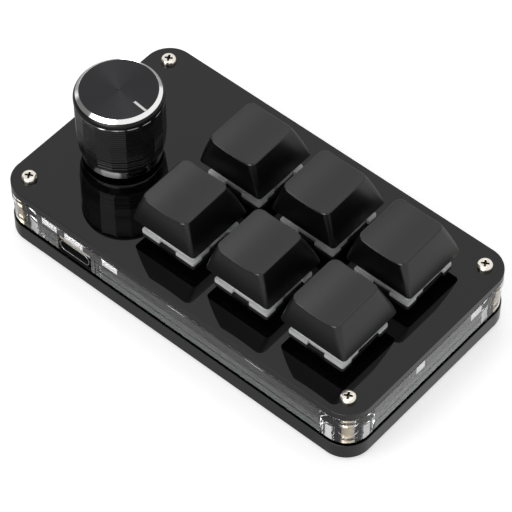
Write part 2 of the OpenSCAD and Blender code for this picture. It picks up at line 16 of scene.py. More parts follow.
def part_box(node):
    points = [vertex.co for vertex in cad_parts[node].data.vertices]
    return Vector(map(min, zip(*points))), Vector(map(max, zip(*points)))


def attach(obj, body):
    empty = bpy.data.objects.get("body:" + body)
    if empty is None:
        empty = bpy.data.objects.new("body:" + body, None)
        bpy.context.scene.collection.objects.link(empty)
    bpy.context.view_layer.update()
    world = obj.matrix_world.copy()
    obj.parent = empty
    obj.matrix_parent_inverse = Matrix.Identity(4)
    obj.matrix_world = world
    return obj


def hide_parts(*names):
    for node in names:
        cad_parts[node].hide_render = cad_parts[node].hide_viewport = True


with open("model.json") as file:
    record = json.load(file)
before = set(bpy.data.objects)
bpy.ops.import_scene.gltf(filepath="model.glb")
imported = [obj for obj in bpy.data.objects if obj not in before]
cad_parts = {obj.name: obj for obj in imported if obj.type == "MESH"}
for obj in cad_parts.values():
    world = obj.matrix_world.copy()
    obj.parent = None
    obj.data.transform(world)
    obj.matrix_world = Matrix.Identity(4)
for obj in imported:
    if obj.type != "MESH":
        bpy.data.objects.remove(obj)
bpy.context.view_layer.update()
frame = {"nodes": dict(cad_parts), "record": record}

bl_info = {
    "name": "Desk Keypad",
    "version": (1, 0, 0),
    "blender": (4, 5, 0),
    "location": "View3D > Sidebar > Keypad",
    "description": "Models and finishes a desk keypad with six keys and a knob",
    "category": "Object",
}

MM = 0.001
KEYS = range(1, 7)
SHARP = math.radians(35)


# Sizes and finishes that a user would change

class KeypadCase(bpy.types.PropertyGroup):
    corner: bpy.props.FloatProperty(
        name="Corner radius", description="Radius of the sheets' corners",
        default=6.5 * MM, unit="LENGTH")
    edge: bpy.props.FloatProperty(
        name="Edge", description="Rounding of the sheets' cut edges",
        default=0.12 * MM, unit="LENGTH")
    gap: bpy.props.FloatProperty(
        name="Gap", description="Air left above and below each clear frame",
        default=0.015 * MM, unit="LENGTH")
    wall: bpy.props.FloatProperty(
        name="Wall", description="Width of the clear frames' walls",
        default=4 * MM, unit="LENGTH")
    pad: bpy.props.FloatProperty(
        name="Corner pad", description="Radius of the frames' pads round the standoffs",
        default=5 * MM, unit="LENGTH")
    step: bpy.props.FloatProperty(
        name="Step", description="Width of the step round the top of the base sheet",
        default=0.9 * MM, unit="LENGTH")
    step_height: bpy.props.FloatProperty(
        name="Step height", description="Height of that step",
        default=0.6 * MM, unit="LENGTH")
    cutout: bpy.props.FloatProperty(
        name="Cutout", description="Width of the switches' square holes",
        default=14 * MM, unit="LENGTH")
    knob_cutout: bpy.props.FloatProperty(
        name="Knob cutout", description="Width of the square hole under the knob",
        default=12.6 * MM, unit="LENGTH")
    slot: bpy.props.FloatProperty(
        name="Socket slot", description="Width of the lower frame's slot for the socket",
        default=10 * MM, unit="LENGTH")


class KeypadKeys(bpy.types.PropertyGroup):
    top_width: bpy.props.FloatProperty(
        name="Top width", description="Width of a keycap's top",
        default=12.9 * MM, unit="LENGTH")
    top_front: bpy.props.FloatProperty(
        name="Top front", description="Where the top ends towards the front, from the key's axis",
        default=8.6 * MM, unit="LENGTH")
    top_back: bpy.props.FloatProperty(
        name="Top back", description="Where the top ends towards the back, from the key's axis",
        default=6 * MM, unit="LENGTH")
    dish: bpy.props.FloatProperty(
        name="Dish", description="Depth of the trough in a keycap's top",
        default=0.7 * MM, unit="LENGTH")
    tilt: bpy.props.FloatProperty(
        name="Tilt", description="Tilt of the trough, higher at the back",
        default=math.radians(1.2), subtype="ANGLE")
    corner: bpy.props.FloatProperty(
        name="Corner", description="Rounding of a keycap's upright corners at its top",
        default=1.8 * MM, unit="LENGTH")
    base_corner: bpy.props.FloatProperty(
        name="Lower corner", description="Rounding of those corners at the lower edge",
        default=0.9 * MM, unit="LENGTH")
    rim: bpy.props.FloatProperty(
        name="Rim", description="Rounding of the rim round a keycap's top",
        default=0.32 * MM, unit="LENGTH")
    bulge: bpy.props.FloatProperty(
        name="Bulge", description="How far a keycap's sides swell",
        default=0.15 * MM, unit="LENGTH")
    wall: bpy.props.FloatProperty(
        name="Wall", description="Thickness of a keycap's walls",
        default=1.5 * MM, unit="LENGTH")


class KeypadKnob(bpy.types.PropertyGroup):
    facets: bpy.props.IntProperty(
        name="Facets", description="Number of flat facets round the knob", default=18, min=12, max=24)
    facet_depth: bpy.props.FloatProperty(
        name="Facet depth", description="Depth of a facet at its middle",
        default=0.18 * MM, unit="LENGTH")
    groove: bpy.props.FloatProperty(
        name="Groove spacing", description="Distance between the fine turned grooves of the grip",
        default=0.7 * MM, unit="LENGTH")
    foot_groove: bpy.props.FloatProperty(
        name="Foot groove spacing", description="Distance between the coarse grooves of the foot",
        default=0.95 * MM, unit="LENGTH")
    groove_depth: bpy.props.FloatProperty(
        name="Groove depth", description="Depth of the turned grooves",
        default=0.08 * MM, unit="LENGTH")
    pointer: bpy.props.FloatProperty(
        name="Pointer", description="Direction of the pointer line from +X",
        default=math.radians(-5), subtype="ANGLE")


class KeypadFinishes(bpy.types.PropertyGroup):
    gloss_black: bpy.props.FloatVectorProperty(
        name="Gloss black", description="Black of the case's sheets",
        subtype="COLOR", size=4, default=(0.0013, 0.0013, 0.0014, 1), min=0, max=1)
    cap_black: bpy.props.FloatVectorProperty(
        name="Keycap black", description="Black of the keycaps",
        subtype="COLOR", size=4, default=(0.004, 0.004, 0.0042, 1), min=0, max=1)
    knob_black: bpy.props.FloatVectorProperty(
        name="Knob black", description="Anodised black of the knob",
        subtype="COLOR", size=4, default=(0.006, 0.006, 0.0065, 1), min=0, max=1)
    housing: bpy.props.FloatVectorProperty(
        name="Housing white", description="White of the switch housings",
        subtype="COLOR", size=4, default=(0.86, 0.865, 0.87, 1), min=0, max=1)
    clear: bpy.props.FloatVectorProperty(
        name="Clear sheet", description="Tint of the clear frames",
        subtype="COLOR", size=4, default=(0.96, 0.96, 0.96, 1), min=0, max=1)
    nickel: bpy.props.FloatVectorProperty(
        name="Nickel", description="Warm nickel of the screws and the socket",
        subtype="COLOR", size=4, default=(0.82, 0.77, 0.69, 1), min=0, max=1)


class KeypadStage(bpy.types.PropertyGroup):
    azimuth: bpy.props.FloatProperty(
        name="Azimuth", description="Direction of the camera, from -Y towards +X",
        default=math.radians(41.27), subtype="ANGLE")
    elevation: bpy.props.FloatProperty(
        name="Elevation", description="Height of the camera as an angle",
        default=math.radians(51.60), subtype="ANGLE")
    roll: bpy.props.FloatProperty(
        name="Roll", description="Turn of the camera about its own axis",
        default=math.radians(-0.465), subtype="ANGLE")
    distance: bpy.props.FloatProperty(
        name="Distance", description="From the camera to the middle of the keys",
        default=632 * MM, unit="LENGTH")
    aside: bpy.props.FloatVectorProperty(
        name="Aside", description="How far the camera stands to its own right and above",
        size=2, default=(-8.94 * MM, -1.655 * MM), unit="LENGTH")
    lens: bpy.props.FloatProperty(
        name="Lens", description="Focal length in millimetres on a 36 mm sensor", default=198.96)
    lamp_power: bpy.props.FloatProperty(
        name="Lamp power", description="Power of the key lamp in watts", default=0.6, min=0)
    fill_power: bpy.props.FloatProperty(
        name="Front power", description="Power of the front lamp in watts", default=1.6, min=0)
    sky: bpy.props.FloatProperty(
        name="Sky", description="Strength of the even light from all round", default=0.55, min=0)
    window: bpy.props.FloatProperty(
        name="Window", description="Strength of the window that polished parts mirror", default=6.0, min=0)


# Modelling helpers

def deselect():
    """Leaves object mode with nothing selected."""
    if bpy.context.object and bpy.context.object.mode != "OBJECT":
        bpy.ops.object.mode_set(mode="OBJECT")
    bpy.ops.object.select_all(action="DESELECT")


def activate(piece):
    """Selects one piece alone and makes it the active object."""
    deselect()
    piece.select_set(True)
    bpy.context.view_layer.objects.active = piece
    return piece


def settle(name):
    """Names the new primitive and puts its place into its mesh."""
    piece = bpy.context.object
    piece.name = name
    piece.data.name = name
    bpy.ops.object.transform_apply(location=True, rotation=True, scale=True)
    return piece


def block(name, low, high, turn=(0, 0, 0)):
    """A box between two corners."""
    low, high = Vector(low), Vector(high)
    deselect()
    bpy.ops.mesh.primitive_cube_add(size=1, location=(low + high) / 2, rotation=turn, scale=high - low)
    return settle(name)


def rod(name, place, radius, low, high, sides=64):
    """An upright cylinder at a place, between two levels."""
    deselect()
    bpy.ops.mesh.primitive_cylinder_add(
        vertices=sides, radius=radius, depth=high - low, location=(place[0], place[1], (low + high) / 2))
    return settle(name)


@contextlib.contextmanager
def editing(piece, kind):
    """Edit mode on one piece, with elements of one kind picked in it."""
    activate(piece)
    bpy.ops.object.mode_set(mode="EDIT")
    bpy.ops.mesh.select_mode(type=kind)
    bpy.ops.mesh.select_all(action="DESELECT")
    yield
    bpy.ops.object.mode_set(mode="OBJECT")


def pick(piece, kind, test):
    """Selects the faces, edges or verts of the mesh in edit mode that pass a test."""
    bpy.ops.mesh.select_all(action="DESELECT")
    mesh = bmesh.from_edit_mesh(piece.data)
    mesh.normal_update()
    found = [element for element in getattr(mesh, kind) if test(element)]
    if not found:
        raise RuntimeError(f"{piece.name}: no {kind} were found to shape")
    for element in found:
        element.select_set(True)
    mesh.select_flush_mode()
    bmesh.update_edit_mesh(piece.data)


def upright(edge):
    """True for an edge that climbs more than it runs sideways."""
    along = edge.verts[1].co - edge.verts[0].co
    return abs(along.z) > 0.6 * along.length


def at_level(level):
    """A test for faces that lie flat at one level."""
    return lambda face: all(abs(vert.co.z - level) < 1e-7 for vert in face.verts)


def round_uprights(piece, radius, segments):
    """Rounds a piece's upright edges."""
    with editing(piece, "EDGE"):
        pick(piece, "edges", upright)
        bpy.ops.mesh.bevel(offset=radius, segments=segments, affect="EDGES")


def apply_modifier(piece, modifier):
    activate(piece)
    bpy.ops.object.modifier_apply(modifier=modifier.name)


def carve(piece, tools, operation="DIFFERENCE"):
    """Cuts the tools out of a piece, or joins them to it, one by one."""
    for tool in tools:
        modifier = piece.modifiers.new("carve", "BOOLEAN")
        modifier.operation = operation
        modifier.solver = "EXACT"
        modifier.object = tool
        apply_modifier(piece, modifier)
        bpy.data.objects.remove(tool)
    return piece


def join(name, pieces):
    """One piece with the meshes of several that don't touch."""
    deselect()
    for piece in pieces:
        piece.select_set(True)
    bpy.context.view_layer.objects.active = pieces[0]
    bpy.ops.object.join()
    pieces[0].name = name
    return pieces[0]


def round_edges(piece, width, segments=3, angle=SHARP):
    """Rounds a piece's sharp edges and smooths its curved faces."""
    activate(piece)
    bpy.ops.object.shade_smooth()
    modifier = piece.modifiers.new("round", "BEVEL")
    modifier.width = width
    modifier.segments = segments
    modifier.limit_method = "ANGLE"
    modifier.angle_limit = angle
    modifier.harden_normals = True
    modifier.use_clamp_overlap = False
    modifier.miter_outer = "MITER_SHARP"
    apply_modifier(piece, modifier)
    bpy.ops.object.shade_smooth_by_angle(angle=angle)
    return piece


def smooth(piece, angle=SHARP):
    """Smooths a piece's faces where they meet at less than an angle."""
    activate(piece)
    bpy.ops.object.shade_smooth_by_angle(angle=angle)


def turned(name, place, outline, sides):
    """A piece turned on a lathe: each point of the outline is a radius and a level."""
    start = outline[0]
    deselect()
    bpy.ops.mesh.primitive_circle_add(
        vertices=sides, radius=start[0], fill_type="NGON", location=(place[0], place[1], start[1]))
    piece = settle(name)
    with editing(piece, "FACE"):
        bpy.ops.mesh.select_all(action="SELECT")
        for before, after in zip(outline, outline[1:]):
            bpy.ops.mesh.extrude_region_move(
                TRANSFORM_OT_translate={"value": (0, 0, after[1] - before[1])})
            share = after[0] / before[0]
            bpy.ops.transform.resize(
                value=(share, share, 1), center_override=(place[0], place[1], after[1]))
        bpy.ops.mesh.select_all(action="SELECT")
        bpy.ops.mesh.normals_make_consistent(inside=False)
    return piece


def copied(piece, name, offset):
    """A copy of a piece with its own mesh, moved by an offset."""
    twin = piece.copy()
    twin.data = piece.data.copy()
    twin.name = twin.data.name = name
    bpy.context.scene.collection.objects.link(twin)
    twin.data.transform(Matrix.Translation(offset))
    return twin


def middle(node):
    """The middle of a node's box."""
    low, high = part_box(node)
    return (low + high) / 2


def screw_places():
    """The four corner screws' places."""
    low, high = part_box("top_screws")
    side = 1.85 * MM
    return [Vector((x, y, 0)) for x in (low.x + side, high.x - side) for y in (low.y + side, high.y - side)]


def paint(piece, index, test):
    """Gives the faces that pass a test one of the piece's finishes."""
    for face in piece.data.polygons:
        if test(face):
            face.material_index = index


def hang(piece, body, slot, node, *finishes):
    """Lets a piece ride on a body in place of a node. Its finish is its slot's, or those named."""
    piece.data.materials.clear()
    for name in finishes or [slot]:
        piece.data.materials.append(FINISHES[name])
    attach(piece, body)
    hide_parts(node)
    return piece


def direction(azimuth, elevation):
    """A unit vector from its azimuth from +X and its elevation, in degrees."""
    azimuth, elevation = math.radians(azimuth), math.radians(elevation)
    return Vector((math.cos(azimuth) * math.cos(elevation), math.sin(azimuth) * math.cos(elevation),
                   math.sin(elevation)))


# Shader groups, each used by several finishes

def new_group(name, inputs, outputs):
    """An empty shader group with float inputs at their defaults, and named outputs."""
    group = bpy.data.node_groups.new(name, "ShaderNodeTree")
    for label, value in inputs:
        socket = group.interface.new_socket(label, in_out="INPUT", socket_type="NodeSocketFloat")
        socket.default_value = value
    for label in outputs:
        group.interface.new_socket(label, in_out="OUTPUT", socket_type="NodeSocketFloat")
    return group, group.nodes.new("NodeGroupInput"), group.nodes.new("NodeGroupOutput")


def noise(tree, vector, scale, detail=2.0, roughness=0.5):
    node = tree.nodes.new("ShaderNodeTexNoise")
    node.inputs["Scale"].default_value = scale
    node.inputs["Detail"].default_value = detail
    node.inputs["Roughness"].default_value = roughness
    tree.links.new(vector, node.inputs["Vector"])
    return node.outputs["Fac"]


def sums(tree, operation, *values):
    """A Math node on values that are sockets or numbers."""
    node = tree.nodes.new("ShaderNodeMath")
    node.operation = operation
    for socket, value in zip(node.inputs, values):
        if isinstance(value, (int, float)):
            socket.default_value = value
        else:
            tree.links.new(value, socket)
    return node.outputs[0]


def graded(tree, value, low, high, to_low, to_high):
    """A value taken from one range to another, held at the ends."""
    node = tree.nodes.new("ShaderNodeMapRange")
    for label, limit in (("From Min", low), ("From Max", high), ("To Min", to_low), ("To Max", to_high)):
        if isinstance(limit, (int, float)):
            node.inputs[label].default_value = limit
        else:
            tree.links.new(limit, node.inputs[label])
    tree.links.new(value, node.inputs["Value"])
    return node.outputs["Result"]


def grain_group():
    """Fine moulded grain: a height for bump, and a value that shifts the roughness."""
    group, given, out = new_group(
        "moulded_grain", [("Grain", 6000.0), ("Blotch", 90.0), ("Middle", 0.45), ("Spread", 0.06)],
        ["Height", "Roughness"])
    place = group.nodes.new("ShaderNodeTexCoord").outputs["Object"]
    fine = group.nodes.new("ShaderNodeTexNoise")
    fine.inputs["Detail"].default_value = 3
    group.links.new(place, fine.inputs["Vector"])
    group.links.new(given.outputs["Grain"], fine.inputs["Scale"])
    wide = group.nodes.new("ShaderNodeTexNoise")
    group.links.new(place, wide.inputs["Vector"])
    group.links.new(given.outputs["Blotch"], wide.inputs["Scale"])
    off_middle = sums(group, "SUBTRACT", wide.outputs["Fac"], 0.5)
    shift = sums(group, "MULTIPLY", off_middle, given.outputs["Spread"])
    group.links.new(fine.outputs["Fac"], out.inputs["Height"])
    group.links.new(sums(group, "ADD", given.outputs["Middle"], shift), out.inputs["Roughness"])
    return group


def cut_edge_group():
    """Upright saw marks on a sheet's sides: a height for bump, and a mask of the sides."""
    group, given, out = new_group("cut_edge", [("Marks", 2200.0)], ["Height", "Sides"])
    coords = group.nodes.new("ShaderNodeTexCoord")
    stretch = group.nodes.new("ShaderNodeMapping")
    stretch.inputs["Scale"].default_value = (1, 1, 0.04)
    group.links.new(coords.outputs["Object"], stretch.inputs["Vector"])
    marks = group.nodes.new("ShaderNodeTexNoise")
    marks.inputs["Detail"].default_value = 3
    group.links.new(stretch.outputs["Vector"], marks.inputs["Vector"])
    group.links.new(given.outputs["Marks"], marks.inputs["Scale"])
    split = group.nodes.new("ShaderNodeSeparateXYZ")
    group.links.new(coords.outputs["Normal"], split.inputs["Vector"])
    sides = graded(group, sums(group, "ABSOLUTE", split.outputs["Z"]), 0.5, 0.8, 1.0, 0.0)
    group.links.new(sums(group, "MULTIPLY", marks.outputs["Fac"], sides), out.inputs["Height"])
    group.links.new(sides, out.inputs["Sides"])
    return group


def rings_group():
    """Turning marks round an upright axis, as a height for bump."""
    group, given, out = new_group(
        "turning_marks", [("Axis X", 0.0), ("Axis Y", 0.0), ("Spacing", 0.0002)], ["Height"])
    place = group.nodes.new("ShaderNodeTexCoord").outputs["Object"]
    split = group.nodes.new("ShaderNodeSeparateXYZ")
    group.links.new(place, split.inputs["Vector"])
    across = sums(group, "SUBTRACT", split.outputs["X"], given.outputs["Axis X"])
    along = sums(group, "SUBTRACT", split.outputs["Y"], given.outputs["Axis Y"])
    radius = sums(group, "SQRT", sums(
        group, "ADD", sums(group, "MULTIPLY", across, across), sums(group, "MULTIPLY", along, along)))
    phase = sums(group, "MULTIPLY", sums(group, "DIVIDE", radius, given.outputs["Spacing"]), 2 * math.pi)
    group.links.new(sums(group, "SINE", phase), out.inputs["Height"])
    return group


def use_group(tree, group, values=()):
    node = tree.nodes.new("ShaderNodeGroup")
    node.node_tree = group
    for label, value in values:
        node.inputs[label].default_value = value
    return node


def bumped(tree, shader, height, distance, strength=1.0):
    """Feeds a height in metres times distance to the shader's normal."""
    node = tree.nodes.new("ShaderNodeBump")
    node.inputs["Strength"].default_value = strength
    node.inputs["Distance"].default_value = distance
    tree.links.new(height, node.inputs["Height"])
    tree.links.new(node.outputs["Normal"], shader.inputs["Normal"])
    return node


def material(name, colour, **sockets):
    """A new finish with its shader's plain values, as the material, its tree and its shader."""
    made = bpy.data.materials.new(name)
    made.use_nodes = True
    made.diffuse_color = colour
    shader = made.node_tree.nodes["Principled BSDF"]
    shader.inputs["Base Color"].default_value = colour
    for label, value in sockets.items():
        shader.inputs[label.replace("_", " ")].default_value = value
    return made, made.node_tree, shader


def moulded(name, colour, grain, middle_roughness, spread, depth, **sockets):
    """A moulded plastic with a fine grain of some depth."""
    made, tree, shader = material(name, colour, **sockets)
    node = use_group(tree, GROUPS["grain"], [
        ("Grain", grain), ("Middle", middle_roughness), ("Spread", spread)])
    tree.links.new(node.outputs["Roughness"], shader.inputs["Roughness"])
    bumped(tree, shader, node.outputs["Height"], depth)
    return made


def gloss_black(colour):
    """Black cast sheet: a mirror face with a little haze, and duller saw-cut sides."""
    made, tree, shader = material("gloss_black_sheet", colour, IOR=1.45)
    cut = use_group(tree, GROUPS["cut"], [("Marks", 1800.0)])
    place = tree.nodes.new("ShaderNodeTexCoord").outputs["Object"]
    haze = graded(tree, noise(tree, place, 60.0, 4.0), 0.3, 0.8, 0.012, 0.03)
    mixed = sums(tree, "ADD", haze, sums(tree, "MULTIPLY", cut.outputs["Sides"], 0.07))
    tree.links.new(mixed, shader.inputs["Roughness"])
    bumped(tree, shader, cut.outputs["Height"], 0.004 * MM)
    return made


def clear_sheet(colour):
    """Clear cast sheet with upright saw marks on its sides."""
    made, tree, shader = material("clear_sheet", colour, IOR=1.49, Transmission_Weight=1.0)
    cut = use_group(tree, GROUPS["cut"], [("Marks", 900.0)])
    rough = sums(tree, "ADD", sums(tree, "MULTIPLY", cut.outputs["Sides"], 0.03), 0.01)
    tree.links.new(rough, shader.inputs["Roughness"])
    bumped(tree, shader, cut.outputs["Height"], 0.02 * MM)
    return made


def plated(name, colour, middle_roughness, spread=0.1, depth=0.002 * MM):
    """A plated or drawn metal with faint handling marks."""
    return moulded(name, colour, 2500.0, middle_roughness, spread, depth, Metallic=1.0)


def anodised(name, colour, roughness, spacing, depth, **sockets):
    """Anodised or bare metal with turning marks round the knob's axis."""
    axis = middle("knob_body")
    made, tree, shader = material(name, colour, **sockets)
    rings = use_group(tree, GROUPS["rings"], [
        ("Axis X", axis.x), ("Axis Y", axis.y), ("Spacing", spacing)])
    grain = use_group(tree, GROUPS["grain"], [("Grain", 3500.0), ("Middle", roughness), ("Spread", 0.05)])
    tree.links.new(grain.outputs["Roughness"], shader.inputs["Roughness"])
    if "Anisotropic" in sockets:
        place = tree.nodes.new("ShaderNodeTexCoord").outputs["Object"]
        outwards = tree.nodes.new("ShaderNodeVectorMath")
        outwards.operation = "SUBTRACT"
        tree.links.new(place, outwards.inputs[0])
        outwards.inputs[1].default_value = axis
        turn = tree.nodes.new("ShaderNodeVectorTransform")
        turn.convert_from, turn.convert_to, turn.vector_type = "OBJECT", "WORLD", "VECTOR"
        tree.links.new(outwards.outputs["Vector"], turn.inputs["Vector"])
        tree.links.new(turn.outputs["Vector"], shader.inputs["Tangent"])
    bumped(tree, shader, rings.outputs["Height"], depth)
    return made


def circuit_mask():
    """Green solder mask with slightly raised tracks, and pale cut edges."""
    made, tree, shader = material("green_board", (0.02, 0.14, 0.09, 1), Roughness=0.35)
    coords = tree.nodes.new("ShaderNodeTexCoord")
    tracks = tree.nodes.new("ShaderNodeTexBrick")
    tracks.inputs["Scale"].default_value = 350.0
    tracks.inputs["Color1"].default_value = (0.02, 0.15, 0.10, 1)
    tracks.inputs["Color2"].default_value = (0.015, 0.12, 0.08, 1)
    tracks.inputs["Mortar"].default_value = (0.03, 0.20, 0.13, 1)
    tree.links.new(coords.outputs["Object"], tracks.inputs["Vector"])
    split = tree.nodes.new("ShaderNodeSeparateXYZ")
    tree.links.new(coords.outputs["Normal"], split.inputs["Vector"])
    side = graded(tree, sums(tree, "ABSOLUTE", split.outputs["Z"]), 0.4, 0.6, 1.0, 0.0)
    blend = tree.nodes.new("ShaderNodeMix")
    blend.data_type = "RGBA"
    tree.links.new(side, blend.inputs["Factor"])
    tree.links.new(tracks.outputs["Color"], blend.inputs["A"])
    blend.inputs["B"].default_value = (0.62, 0.58, 0.50, 1)
    tree.links.new(blend.outputs["Result"], shader.inputs["Base Color"])
    bumped(tree, shader, tracks.outputs["Fac"], 0.02 * MM)
    return made


GROUPS = {}
FINISHES = {}


def make_finishes(colours):
    """Every finish of the keypad, from the colours that the panel shows."""
    GROUPS.update(grain=grain_group(), cut=cut_edge_group(), rings=rings_group())
    FINISHES.update(
        gloss_black_sheet=gloss_black(colours.gloss_black),
        clear_sheet=clear_sheet(colours.clear),
        cap_black=moulded("cap_black", colours.cap_black, 5200.0, 0.31, 0.05, 0.004 * MM),
        white_housing=moulded("white_housing", colours.housing, 3000.0, 0.36, 0.08, 0.003 * MM),
        black_rubber=moulded("black_rubber", (0.012, 0.012, 0.012, 1), 2500.0, 0.7, 0.1, 0.01 * MM),
        black_plastic=moulded("black_plastic", (0.012, 0.012, 0.013, 1), 4000.0, 0.4, 0.1, 0.005 * MM),
        led_white=moulded("led_white", (0.82, 0.84, 0.82, 1), 2500.0, 0.3, 0.1, 0.003 * MM,
                          Emission_Color=(1, 1, 1, 1), Emission_Strength=0.1),
        stem_plastic=moulded("stem_plastic", (0.35, 0.03, 0.03, 1), 3000.0, 0.3, 0.1, 0.003 * MM),
        pointer_white=moulded("pointer_white", (0.86, 0.86, 0.84, 1), 3000.0, 0.35, 0.1, 0.004 * MM),
        nickel=plated("nickel", colours.nickel, 0.16),
        # painted shade: a dark brown metal for the faces inside the screws' cross recesses
        dark_recess=plated("dark_recess", (0.10, 0.085, 0.07, 1), 0.3),
        brass=plated("brass", (0.68, 0.58, 0.42, 1), 0.28),
        gold_contact=plated("gold_contact", (0.80, 0.60, 0.26, 1), 0.22),
        spring_steel=plated("spring_steel", (0.62, 0.62, 0.63, 1), 0.25),
        green_board=circuit_mask(),
        knob_side=anodised("knob_side", colours.knob_black, 0.16, 0.11 * MM, 0.0, IOR=1.65),
        knob_disc=anodised("knob_disc", (0.036, 0.036, 0.038, 1), 0.34, 0.16 * MM, 0.0008 * MM,
                           Metallic=1.0, Anisotropic=0.85),
        knob_chamfer=anodised("knob_chamfer", (0.86, 0.86, 0.85, 1), 0.10, 0.13 * MM, 0.0008 * MM,
                              Metallic=1.0),
        knob_brow=anodised("knob_brow", (0.24, 0.24, 0.25, 1), 0.2, 0.13 * MM, 0.0, Metallic=1.0),
        knob_foot=anodised("knob_foot", (0.4, 0.4, 0.4, 1), 0.12, 0.13 * MM, 0.0, Metallic=1.0),
        knob_shoulder=anodised("knob_shoulder", colours.knob_black, 0.3, 0.13 * MM, 0.0, IOR=1.3),
        # painted shade: an opaque black for the clear frames' bevels where the two frames meet
        frame_seam=moulded("frame_seam", (0.012, 0.012, 0.012, 1), 3000.0, 0.4, 0.1, 0.003 * MM),
        # painted light: a glowing white for the patches on the upper frame's inner walls
        lit_edge=moulded("lit_edge", (0.8, 0.8, 0.8, 1), 2500.0, 0.5, 0.1, 0.003 * MM,
                         Emission_Color=(1, 1, 1, 1), Emission_Strength=0.4),
        socket_rim=plated("socket_rim", (0.45, 0.45, 0.46, 1), 0.2),
    )


def operator(cls):
    """Keeps an operator in the order in which the pieces are made."""
    STEPS.append(cls)
    return cls


STEPS = []


@operator
class KEYPAD_OT_finishes(bpy.types.Operator):
    """Mix the plastics, the clear sheet and the metals, and put them on the inner parts"""
    bl_idname = "keypad.finishes"
    bl_label = "Finishes"

    def execute(self, context):
        make_finishes(context.scene.keypad_finishes)
        for part in frame["record"]["subparts"]:
            node = frame["nodes"][part["node"]]
            name = {"black_aluminium": "knob_side"}.get(part["material_slot"], part["material_slot"])
            node.data.materials.clear()
            node.data.materials.append(FINISHES[name])
        return {"FINISHED"}


@operator
class KEYPAD_OT_top_sheet(bpy.types.Operator):
    """Cut the glossy top sheet with its holes for the switches, the knob and the screws"""
    bl_idname = "keypad.top_sheet"
    bl_label = "Top Sheet"

    def execute(self, context):
        case = context.scene.keypad_case
        low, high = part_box("top_plate")
        piece = block("top_sheet", low, high)
        round_uprights(piece, case.corner, 24)
        down, up = low.z - MM, high.z + MM
        holes = []
        squares = [(middle(f"switch_base_{k}"), case.cutout) for k in KEYS]
        squares.append((middle("knob_body"), case.knob_cutout))
        for place, width in squares:
            half = width / 2
            holes.append(block("hole", (place.x - half, place.y - half, down),
                               (place.x + half, place.y + half, up)))
        holes += [rod("hole", place, 1.1 * MM, down, up) for place in screw_places()]
        carve(piece, holes)
        round_edges(piece, case.edge)
        hang(piece, "board", "gloss_black_sheet", "top_plate")
        return {"FINISHED"}


@operator
class KEYPAD_OT_clear_frames(bpy.types.Operator):
    """Cut the two clear frames, with the socket's slot in the lower one, painted shade along their seam and
    patches of painted light in the upper one
    """
    bl_idname = "keypad.clear_frames"
    bl_label = "Clear Frames"

    EDGE = 0.25 * MM
    # Each patch's middle along its wall and its width, in millimetres
    FRONT_GLOWS = ((-38.2, 4.6), (-30.6, 5.6), (-19.6, 4.6))
    RIGHT_GLOWS = ((-3.2, 2.8), (16.4, 3.6))
    # How far the patches reach along the front and the right wall
    FRONT_REACH, RIGHT_REACH = 41.5 * MM, 18.6 * MM

    def execute(self, context):
        case = context.scene.keypad_case
        board_low, board_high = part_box("top_plate")
        socket = middle("usb_shell")
        inside = Vector((case.wall, case.wall, 0))
        for node, name in (("upper_frame", "upper_clear_frame"), ("lower_frame", "lower_clear_frame")):
            low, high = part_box(node)
            low.z += case.gap
            high.z -= case.gap
            inset = low.x - board_low.x
            piece = block(name, low, high)
            round_uprights(piece, case.corner - inset, 24)
            down, up = low.z - MM, high.z + MM
            opening = block("opening", (board_low + inside).xy.to_3d() + Vector((0, 0, down)),
                            (board_high - inside).xy.to_3d() + Vector((0, 0, up)))
            carve(opening, [rod("pad", p, case.pad, down - MM, up + MM, 96) for p in screw_places()])
            tools = [opening] + [rod("hole", p, 2.15 * MM, down, up) for p in screw_places()]
            if node == "lower_frame":
                half = case.slot / 2
                tools.append(block("slot", (socket.x - half, low.y - MM, down),
                                   (socket.x + half, board_low.y + case.wall + MM, up)))
            carve(piece, tools)
            round_edges(piece, self.EDGE, 3)
            inner = Vector((board_high.x, board_low.y, 0)) + Vector((-case.wall, case.wall, 0))
            if node == "upper_frame":
                piece = join(name, [piece] + self.glows(inner, low.z, high.z))
            hang(piece, "board", "clear_sheet", node, "clear_sheet", "frame_seam", "lit_edge")
            # Painted shade: the bevel faces along the seam between the two frames get opaque black,
            # standing in for the shade in the gap between them.
            seam = low.z if node == "upper_frame" else high.z
            paint(piece, 1, lambda face: (
                abs(face.center.z - seam) < self.EDGE + 0.01 * MM and abs(face.normal.z) < 0.98))
            if node == "upper_frame":
                # Painted light: these patches glow by emission in place of the LEDs' light falling on the
                # frame's walls.
                paint(piece, 2, lambda face: self.is_glow(face.center, inner))
        return {"FINISHED"}

    def glows(self, inner, low, high):
        """Thin patches of painted light where the lights would shine on the upper frame's front and right
        inner walls.
        """
        near, far, rim = 0.04 * MM, 0.08 * MM, 0.3 * MM
        front = [block("glow", ((x - w / 2) * MM, inner.y + near, low + rim),
                       ((x + w / 2) * MM, inner.y + far, high - rim))
                 for x, w in self.FRONT_GLOWS]
        right = [block("glow", (inner.x - far, (y - w / 2) * MM, low + rim),
                       (inner.x - near, (y + w / 2) * MM, high - rim)) for y, w in self.RIGHT_GLOWS]
        return front + right

    def is_glow(self, place, inner):
        """True for a place on one of those patches."""
        near, far = 0.02 * MM, 0.1 * MM
        return (near < place.y - inner.y < far and abs(place.x) < self.FRONT_REACH
                or near < inner.x - place.x < far and abs(place.y) < self.RIGHT_REACH)


